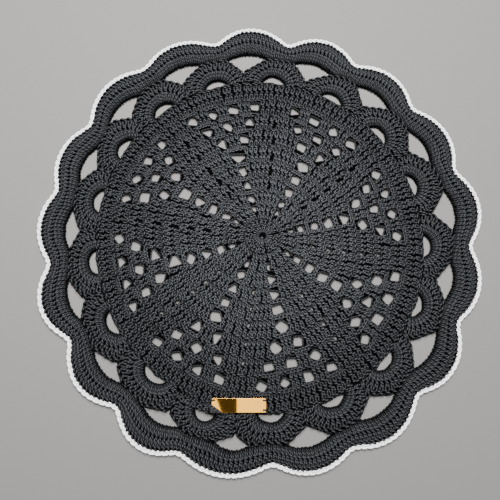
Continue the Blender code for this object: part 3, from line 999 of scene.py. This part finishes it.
@dataclass(frozen=True)
class CopperFinish:
    """Polished copper with a fine brushed grain and faint darker spots."""

    bright: Triple = (1.0, 0.49, 0.06)
    spotted: Triple = (0.95, 0.41, 0.045)
    roughness: tuple[float, float] = (0.03, 0.06)
    grain_scale: Triple = (250.0, 9000.0, 250.0)  # the grain runs along X
    grain_edges: tuple[float, float] = (0.3, 0.7)
    grain_relief: float = 1e-8
    spot_size: float = 0.004
    spot_edges: tuple[float, float] = (0.55, 0.8)

    def make(self) -> Material:
        """Builds the material.

        Returns:
            The material.
        """
        nodes = Finish("copper")
        place = nodes.add("ShaderNodeTexCoord").outputs["Object"]
        stretched = nodes.add("ShaderNodeMapping", {"Vector": place, "Scale": self.grain_scale}).outputs[0]
        grain = nodes.noise(stretched, 1.0, 3.0)
        dulled = nodes.ramp(nodes.noise(place, 1 / self.spot_size, 4.0, 0.6), *self.spot_edges)
        return nodes.shade({
            "Base Color": nodes.blend(dulled, (*self.bright, 1), (*self.spotted, 1)),
            "Roughness": nodes.ramp(grain, *self.grain_edges, *self.roughness),
            "Normal": nodes.bump(self.grain_relief, grain), "Metallic": 1.0})


def sheet_solid(name: str, loops: Sequence[Sequence[Vector]], inside: Sequence[Vector],
                top: Callable[[Vector], float], underside: Callable[[Vector], float]) -> tuple[Mesh, float]:
    """A closed sheet with holes.

    Args:
        name: The mesh's name.
        loops: Its outline and then its holes, measured from the first ring.
        inside: Further points of its faces.
        top: Height of the top at a point.
        underside: Height of the underside at a point.

    Returns:
        The mesh and the area of one side of it.
    """
    points, edges = [], []
    for loop in loops:
        start = len(points)
        points += loop
        edges += [(start + k, start + (k + 1) % len(loop)) for k in range(len(loop))]
    flat, _, faces, _, _, _ = delaunay_2d_cdt([*points, *inside], edges, [], 1, MERGE)
    middles = [sum((flat[i] for i in face), Vector((0, 0))) / len(face) for face in faces]
    faces = [tuple(f) for f, m in zip(faces, middles) if not any(holds(hole, m) for hole in loops[1:])]
    verts = [FIRST_RING + Vector((p.x, p.y, side(p))) for side in (top, underside) for p in flat]
    count = len(flat)
    used = {(a, b) for face in faces for a, b in zip(face, face[1:] + face[:1])}
    walls = [(b, a, a + count, b + count) for a, b in sorted(used) if (b, a) not in used]
    below = [tuple(i + count for i in reversed(face)) for face in faces]
    mesh = bpy.data.meshes.new(name)
    mesh.from_pydata(verts, [], [*faces, *below, *walls])
    mesh.validate()
    mesh.update()
    area = sum((flat[b] - flat[a]).cross(flat[c] - flat[a]) / 2 for a, b, c in faces)
    return mesh, area


@dataclass(frozen=True)
class ClothBody:
    """The cloth's body: a thin sheet with every hole, on which the stitches stand, near-black with the shade
    painted between them.
    """

    chart: Chart
    low: float = 0.0012
    high: float = 0.0019
    arch_high: float = 0.0024
    inset: float = 0.0014
    hole_grow: float = 0.0010

    def _holes(self) -> list[list[Vector]]:
        """Cuts the holes a little wider than what shows between the stitches.

        Returns:
            The outline of every hole.
        """
        chart = self.chart
        holes = chart.gap_rings()
        for this, after in chart.scallops():
            moon = [chart.half_moon(this, t) for t in MOON_FAR]
            moon += [chart.moon_foot(this, t) for t in MOON_BASE]
            eye = [chart.hole_far(this, after, t / 4) for t in range(-4, 5)]
            eye += [chart.hole_near(this, after, t) for t in EYE_NEAR]
            holes += [moon, eye]
        return [moved_out(hole, self.hole_grow) for hole in holes] + chart.pinhole_rings()

    def build(self, yarn: Material) -> tuple[Object, float]:
        """Makes the sheet.

        Args:
            yarn: Its material, the near-black copy of the charcoal yarn that paints the shade between the
                stitches.

        Returns:
            The piece and the flat area of the cloth.
        """
        outline = moved_out(self.chart.outline_ring(ARC_STEPS), -self.inset)
        mesh, area = sheet_solid("cloth_body", [outline, *self._holes()], [],
                                 lambda p: self.arch_high if p.length > LAST_ROUND else self.high,
                                 lambda p: self.low)
        return placed("cloth_body", mesh, yarn), area


@dataclass(frozen=True)
class RoundStitches:
    """The ten full rounds, from the ring outwards."""

    chart: Chart
    height: float = 0.0048
    uneven: float = 0.08
    lean: float = 0.22
    chain_width: float = 0.0034
    chain_pitch: float = 0.0030
    chain_reach: float = 1.25
    chain_drop: float = 0.0006
    rim_level: float = 0.0024   # height of the strand round each gap
    rim_offset: float = 0.0007  # how far its middle lies outside the gap

    def cells(self, index: int, spread: random.Random) -> list[Cell]:
        """Cells of one round.

        Args:
            index: The round, from 0 for the one that is worked into the ring.
            spread: Draws how much the stitches differ.

        Returns:
            Its cells, counter-clockwise.
        """
        inner = ROUNDS[index - 1].radius if index else RING_RADIUS
        outer = ROUNDS[index].radius
        found = []
        for this, after, count in self._spans(index):
            feet = this.at + this.half_foot, after.at - after.half_foot
            heads = this.at + this.half_head, after.at - after.half_head
            for k in range(count):
                a, b = (mix(*feet, j / count) for j in (k, k + 1))
                c, d = (mix(*heads, j / count) for j in (k, k + 1))
                lean = spread.uniform(-self.lean, self.lean) * (d - c)
                tall = outer + spread.uniform(-self.uneven, self.uneven) * (outer - inner) / 2
                places = (a, inner), (b, inner), (c + lean, tall), (d + lean, tall)
                height = self.height * (1 + spread.uniform(-self.uneven, self.uneven))
                found.append(Cell(*(self.chart.at(*place) for place in places), height))
        return found

    def chains(self) -> list[Cell]:
        """Bridges each gap with a short chain.

        Returns:
            Cells of the chain stitches.
        """
        found = []
        for index, gap in self.chart.gaps():
            radius = ROUNDS[index].radius
            reach = gap.half_head * self.chain_reach
            count = max(2, round(2 * reach * self.chart.sector_length(radius) / self.chain_pitch))
            for k in range(count):
                ends = (gap.at + reach * (2 * j / count - 1) for j in (k, k + 1))
                corners = [self.chart.at(s, radius + side * self.chain_width / 2 - self.chain_drop)
                           for s in ends for side in (-1, 1)]
                found.append(Cell(*corners, self.height))
        return found

    def rims(self) -> list[list[Vector]]:
        """Lines of the strands round the gaps and pinholes."""
        rings = self.chart.gap_rings() + self.chart.pinhole_rings()[1:]
        return [raised(moved_out(ring, self.rim_offset), self.rim_level) for ring in rings]

    def _spans(self, index: int) -> Iterator[tuple[Opening, Opening, int]]:
        """Divides a round into its runs of stitches.

        Args:
            index: The round.

        Returns:
            The openings at both ends of each run, and the number of stitches between them.
        """
        wedge = ROUNDS[index].wedge
        openings = self.chart.openings.get(index)
        if not index:
            yield Opening(0), Opening(len(SPOKES)), FIRST_STITCHES
            return
        if not openings:
            yield from ((Opening(sector), Opening(sector + 1), wedge) for sector in range(len(SPOKES)))
            return
        around = [*openings, openings[0]._replace(at=openings[0].at + len(SPOKES))]
        for this, after in zip(around, around[1:]):
            slits = (not this.is_gap) + (not after.is_gap)
            yield this, after, (BLOCK_STITCHES, wedge // 2, wedge)[slits]


@dataclass(frozen=True)
class ArchStitches:
    """The two rings of arches, whose stitches wrap the loops below them."""

    chart: Chart
    height: float = 0.0060
    uneven: float = 0.05
    outer_count: int = 19         # stitches in an outer arch
    inner_count: int = 15         # and in an inner one
    depth: float = 0.0130         # from the outline to the inner arch's top, at a notch
    overlap: float = 0.0003       # how far the outer stitches end outside the outline
    shared_foot: float = 0.0015   # the side stitches of two inner arches meet this far above the last round
    flank: tuple[float, ...] = (0, 0.35, 0.7, 1)  # places along an outer hole's side, from its valley
    filler_count: int = 9         # stitches that fill the space under an inner arch that lies further out
    filler_reach: float = 2.7     # how far they reach to both sides, in half widths of that arch's hole

    def _fan(self, feet: list[Vector], heads: list[Vector], count: int, spread: random.Random) -> list[Cell]:
        """Cells between a foot line and a head line.

        Args:
            feet: The foot line.
            heads: The head line.
            count: The number of cells.
            spread: Draws how much they differ in height.

        Returns:
            The cells.
        """
        low, high = spaced(feet, count), spaced(heads, count)
        return [Cell(low[k], low[k + 1], high[k], high[k + 1],
                     self.height * (1 + spread.uniform(-self.uneven, 0))) for k in range(count)]

    def outer(self, spread: random.Random) -> list[Cell]:
        """Works the seventeen outer arches.

        Args:
            spread: Draws how much the stitches differ in height.

        Returns:
            Their cells.
        """
        found = []
        chart = self.chart
        for this, after in chart.scallops():
            feet = [chart.notch_foot(this, self.depth)]
            feet += [chart.hole_far(this, after, t / ARC_STEPS) for t in range(-ARC_STEPS, ARC_STEPS + 1)]
            feet.append(chart.notch_foot(after, self.depth))
            angles = [mix(this.notch, after.notch, k / ARC_STEPS) for k in range(ARC_STEPS + 1)]
            heads = [chart.polar(deg, chart.outline(deg) + self.overlap) for deg in angles]
            found += self._fan(feet, heads, self.outer_count, spread)
        return found

    def inner(self, spread: random.Random) -> list[Cell]:
        """Works the seventeen inner arches.

        Args:
            spread: Draws how much the stitches differ in height.

        Returns:
            Their cells.
        """
        found = []
        chart = self.chart
        pairs = list(chart.scallops())
        for k, (this, after) in enumerate(pairs):
            before, _ = pairs[k - 1]
            turn = 360 if before.notch > this.notch else 0
            before = before._replace(notch=before.notch - turn, arch=before.arch - turn)
            feet = [chart.half_moon(this, t / ARC_STEPS) for t in range(-ARC_STEPS, ARC_STEPS + 1)]
            ends = [chart.laid((a.arch + b.arch) / 2, LAST_ROUND + self.shared_foot)
                    for a, b in ((before, this), (this, after))]
            heads = [ends[0], *(chart.hole_near(before, this, t) for t in self.flank)]
            heads.append(chart.notch_foot(this, self.depth))
            heads += [chart.hole_near(this, after, -t) for t in reversed(self.flank)]
            found += self._fan(feet, [*heads, ends[1]], self.inner_count, spread)
            if this.off:
                steps = [self.filler_reach * (2 * j / ARC_STEPS - 1) for j in range(ARC_STEPS + 1)]
                low, high = ([chart.moon_foot(row, t) for t in steps] for row in (this._replace(off=0), this))
                found += self._fan(low, high, self.filler_count, spread)
        return found


@dataclass(frozen=True)
class WhiteEdging:
    """The white slip stitches along the outline."""

    chart: Chart
    gap: float = 0.0006
    width: float = 0.0034
    height: float = 0.0038
    links: int = 238
    core_height: float = 0.0012

    def build(self, crocheter: Crocheter, yarn: Material) -> list[Object]:
        """Makes the chain of links and the strand that runs inside it.

        Args:
            crocheter: Makes the pieces.
            yarn: Their material.

        Returns:
            The two pieces, the links first.
        """
        half = self.width / 2
        middle = moved_out(self.chart.outline_ring(ARC_STEPS * 2), self.gap + half)
        path = spaced(middle, self.links, closed=True)
        cells = []
        for k, p in enumerate(path):
            q = path[(k + 1) % self.links]
            here = (q - path[k - 1]).normalized()
            there = (path[(k + 2) % self.links] - p).normalized()
            out_a, out_b = Vector((here.y, -here.x)) * half, Vector((there.y, -there.x)) * half
            cells.append(Cell(p - out_a, p + out_a, q - out_b, q + out_b, self.height))
        return [
            crocheter.stitched("white_edging_links", StitchKind.LINK, cells, yarn, LINK_CORD),
            crocheter.looped("white_edging_core", [raised(path, self.core_height)], yarn, CORE_CORD),
        ]


@dataclass(frozen=True)
class CopperPlate:
    """The small bowed plate near the lower edge, and the thread that it is sewn on with."""

    centre: tuple[float, float] = (-0.0197, -0.1316)
    length: float = 0.0408
    width: float = 0.0104
    thick: float = 0.0009
    corner: float = 0.0010
    bow: float = 0.0008
    turn: float = -0.5            # degrees
    seat: float = 0.0052          # height of the ends' underside
    hole_radius: float = 0.0007
    hole_inset: float = 0.0017
    edge_round: float = 0.00016
    edge_angle: float = 40.0      # degrees past which an edge is rounded
    arc_points: int = 5
    hole_points: int = 20
    bow_points: int = 14
    thread_reach: float = 0.0009
    thread_spread: float = 0.00055
    corner_strands: int = 5
    corner_reach: float = 0.0078
    corner_pitch: float = 0.0015
    corner_slope: float = 0.68
    corner_out: float = 0.0008
    corner_start: float = -0.35   # where the strands begin, as a share of each one's way over the corner
    corner_ragged: float = 0.16   # and how much their beginnings differ

    def _turned(self, x: float, y: float) -> Vector:
        """A point of the mat from its place along and across the plate."""
        cos, sin = math.cos(math.radians(self.turn)), math.sin(math.radians(self.turn))
        return Vector(self.centre) + Vector((x * cos - y * sin, x * sin + y * cos))

    def _under(self, p: Vector) -> float:
        """Measures the plate's underside.

        Args:
            p: A point of the mat.

        Returns:
            Its height there.
        """
        a = math.radians(self.turn)
        x = (p - Vector(self.centre)).dot(Vector((math.cos(a), math.sin(a))))
        return self.seat + self.bow * (1 - (2 * x / self.length) ** 2)

    def _over(self, x: float, y: float, height: float) -> Vector:
        """A point at a height over the plate's underside, from its place along and across the plate."""
        p = self._turned(x, y)
        return Vector((p.x, p.y, self._under(p) + height))

    def _hole_middles(self) -> list[tuple[float, float]]:
        """Places of the four sewing holes along and across the plate."""
        x, y = self.length / 2 - self.hole_inset, self.width / 2 - self.hole_inset
        return [(sx * x, sy * y) for sx in (1, -1) for sy in (1, -1)]

    def plate(self, copper: Material) -> Object:
        """Makes the plate with rounded corners, four holes and softened edges.

        Args:
            copper: Its material.

        Returns:
            The piece.
        """
        half_l, half_w = self.length / 2, self.width / 2
        outline = []
        for quarter, (sx, sy) in enumerate(((1, 1), (-1, 1), (-1, -1), (1, -1))):
            for k in range(self.arc_points):
                a = math.pi / 2 * (quarter + k / (self.arc_points - 1))
                x = sx * (half_l - self.corner) + self.corner * math.cos(a)
                y = sy * (half_w - self.corner) + self.corner * math.sin(a)
                outline.append((x, y))
            if quarter in (0, 2):
                outline += [(sx * (half_l - self.corner) * (1 - 2 * k / self.bow_points), sy * half_w)
                            for k in range(1, self.bow_points)]
        loops = [outline]
        angles = [2 * math.pi * k / self.hole_points for k in range(self.hole_points)]
        for x, y in self._hole_middles():
            loops.append([(x + self.hole_radius * math.cos(a), y + self.hole_radius * math.sin(a))
                          for a in angles])
        inside = [self._turned(half_l * (2 * k / self.bow_points - 1), y)
                  for k in range(2, self.bow_points - 1) for y in (-half_w / 2, 0, half_w / 2)]
        mesh, _ = sheet_solid("copper_plate", [[self._turned(*p) for p in loop] for loop in loops], inside,
                              lambda p: self._under(p) + self.thick, self._under)
        mesh.shade_smooth()
        mesh.set_sharp_from_angle(angle=math.radians(self.edge_angle))
        plate = placed("copper_plate", mesh, copper)
        bevel = plate.modifiers.new("soft_edges", "BEVEL")
        bevel.width = self.edge_round
        bevel.segments = 2
        bevel.limit_method = "ANGLE"
        bevel.angle_limit = math.radians(self.edge_angle)
        bevel.harden_normals = True
        return plate

    def stitches(self) -> list[list[Vector]]:
        """Sews the plate on, from under each hole over its end into the crochet.

        Returns:
            Lines of the sewing thread.
        """
        lines = []
        rise = self.thick + THREAD.radius * 0.8
        for x, y in self._hole_middles():
            side = math.copysign(1, x)
            end = self.length / 2
            for k in (-1, 0, 1):
                reach = (  # along and across the plate, height over its underside
                    (x - side * 0.0001, y + k * 0.0001, -0.0010),
                    (x + side * 0.0001, y + k * 0.0002, rise * 0.9),
                    (x + side * self.hole_inset * 0.55, y + k * self.thread_spread * 0.8, rise + 0.0001),
                    (side * (end + self.thread_reach * 0.35), y + k * self.thread_spread, rise * 0.75),
                    (side * (end + self.thread_reach), y + k * self.thread_spread, -0.0012),
                )
                lines.append([self._over(*place) for place in reach])
        return lines

    def corner_yarn(self) -> list[list[Vector]]:
        """Lays some yarn over the plate's lower left corner.

        Returns:
            Lines of its strands.
        """
        half_l, half_w = self.length / 2, self.width / 2
        lines = []
        for k in range(self.corner_strands):
            way = self.corner_reach - k * self.corner_pitch
            start = self.corner_start - self.corner_ragged * (k * 2 % self.corner_strands)
            course = (  # share of the way over the corner, height over the plate or, below 0, its underside
                (start, -0.0016), (0.0, 0.0010), (0.5, 0.0013), (1.0, 0.0008), (1.35, -0.0018))
            lines.append([self._over(-half_l - self.corner_out + t * way,
                                     -half_w + (1 - t) * way * self.corner_slope,
                                     self.thick * (height > 0) + height) for t, height in course])
        return lines


class Mat:
    """The placemat's cloth with everything worked into it and sewn on it."""

    def __init__(self) -> None:
        """Builds the chart, the trees and the finishes."""
        self.chart = Chart()
        self.crocheter = Crocheter()
        yarns = (CHARCOAL_YARN, WHITE_YARN, CHARCOAL_PAINTED_SHADE, SEWING_THREAD)
        group = plied_yarn_group()
        # self.depth: the near-black copy of the charcoal yarn that paints shade on the cloth body
        self.charcoal, self.white, self.depth, self.black = (yarn.make(group) for yarn in yarns)
        self.copper = CopperFinish().make()

    def _own(self, slot: Slot, *pieces: Object) -> None:
        """Lets pieces ride on the mat's body and logs how many faces each has.

        Args:
            slot: The record's slot; not used.
            *pieces: The pieces.
        """
        for piece in pieces:
            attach(piece, "root")
            log.info("%s: %d faces", piece.name, len(piece.data.polygons))

    def _stitches(self) -> list[Object]:
        """Makes the rounds, the arches, the chains over the gaps and the strands round them.

        Returns:
            The pieces.
        """
        spread = random.Random(STITCH_SEED)
        rounds, arches = RoundStitches(self.chart), ArchStitches(self.chart)
        cells = [rounds.cells(i, spread) for i in range(len(ROUNDS))]
        worked = (
            ("first_round", StitchKind.FIRST, cells[0], FIRST_CORD),
            ("inner_rounds", StitchKind.POST, sum(cells[1:6], []), CORD),
            ("outer_rounds", StitchKind.POST, sum(cells[6:9], []), CORD),
            ("last_round", StitchKind.POST, cells[9], CORD),
            ("inner_arches", StitchKind.ARCH, arches.inner(spread), CORD),
            ("outer_arches", StitchKind.ARCH, arches.outer(spread), CORD),
            ("gap_chains", StitchKind.LINK, rounds.chains(), CORD),
        )
        pieces = [self.crocheter.stitched(name, kind, cells, self.charcoal, spinning)
                  for name, kind, cells, spinning in worked]
        return [*pieces, self.crocheter.looped("gap_rims", rounds.rims(), self.charcoal, RIM_CORD)]

    def build(self) -> None:
        """Makes and dresses every piece and hangs it on the mat's body."""
        stitches = self._stitches()
        # The cloth body is dressed in painted shade, a near-black copy of the charcoal yarn
        cloth, area = ClothBody(self.chart).build(self.depth)
        edging = WhiteEdging(self.chart).build(self.crocheter, self.white)
        design = CopperPlate()
        plate = design.plate(self.copper)
        thread = self.crocheter.looped("sewing_thread", design.stitches(), self.black, THREAD, closed=False)
        corner = self.crocheter.looped(
            "corner_yarn", design.corner_yarn(), self.charcoal, CORNER_CORD, closed=False)
        self._own(Slot.CHARCOAL, cloth, *stitches, thread, corner)
        self._own(Slot.WHITE, *edging)
        self._own(Slot.COPPER, plate)
        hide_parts("label_plate")
        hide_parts("crochet_mat")
        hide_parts("white_edging")
        log.info("cloth area %.4f m2", area)
        self.crocheter.put_away()


@dataclass(frozen=True)
class Studio:
    """The pale floor, the soft lights and the camera at the photograph's place."""

    eye: Triple = (-0.0443, -0.1074, 0.4242)
    right: Triple = (0.99746, -0.00611, 0.07095)
    up: Triple = (-0.00933, 0.97650, 0.21532)
    forward: Triple = (0.07060, 0.21544, -0.97396)
    lens: float = 38.88
    sensor: float = 36.0
    floor_size: float = 2.4
    floor_colour: Triple = (0.146, 0.141, 0.134)
    air: Triple = (0.9, 0.95, 1.0)
    wall: float = 0.36      # brightness of the room at the level of the floor
    ceiling: float = 0.07   # and overhead

    # Name, place, side, turn in degrees and power of each lamp, all of them square and facing down
    LAMPS = (
        ("window_light", (-0.03, 0.46, 1.0), 0.8, 0.0, 49.5),
        ("left_panel", (-0.299, -0.387, 1.0), 0.5, 52.0, 1.8),
        ("right_panel", (0.26, -0.25, 1.0), 0.5, 0.0, 1.8),
    )

    def camera(self) -> None:
        """Stands the camera where the photograph was taken from."""
        data = bpy.data.cameras.new("photo_camera")
        data.lens = self.lens
        data.sensor_width = self.sensor
        data.clip_start = 0.01
        camera = placed("photo_camera", data)
        turned = Matrix((self.right, self.up, [-c for c in self.forward])).transposed().to_4x4()
        camera.matrix_world = Matrix.Translation(self.eye) @ turned
        bpy.context.scene.camera = camera

    def floor(self) -> None:
        """Lays a plain pale floor under the mat."""
        half = self.floor_size / 2
        mesh = bpy.data.meshes.new("floor")
        corners = [(-half, -half, 0), (half, -half, 0), (half, half, 0), (-half, half, 0)]
        mesh.from_pydata(corners, [], [(0, 1, 2, 3)])
        pale = Finish("pale_floor").shade({"Base Color": (*self.floor_colour, 1), "Roughness": 0.7})
        floor = placed("floor", mesh, pale)

    def lights(self) -> None:
        """Hangs a large soft light behind the mat and two weaker panels in front, in a dim room."""
        for name, place, side, turn, power in self.LAMPS:
            data = bpy.data.lights.new(name, "AREA")
            data.shape = "SQUARE"
            data.size = side
            data.energy = power
            light = placed(name, data)
            light.location = place
            light.rotation_euler.z = math.radians(turn)
        world = bpy.data.worlds.new("soft_room")
        world.use_nodes = True
        nodes = Nodes(world.node_tree)
        height = nodes.split(nodes.add("ShaderNodeTexCoord").outputs["Generated"])[2]
        strength = nodes.ramp(height, 0.1, 0.95, self.wall, self.ceiling)
        nodes.feed(nodes.tree.nodes["Background"], {"Color": (*self.air, 1), "Strength": strength})
        bpy.context.scene.world = world


def main() -> None:
    """Builds the studio and the mat."""
    logging.basicConfig(level=logging.INFO, format="%(message)s")
    studio = Studio()
    studio.camera()
    studio.floor()
    studio.lights()
    Mat().build()


if __name__ == "__main__":
    main()
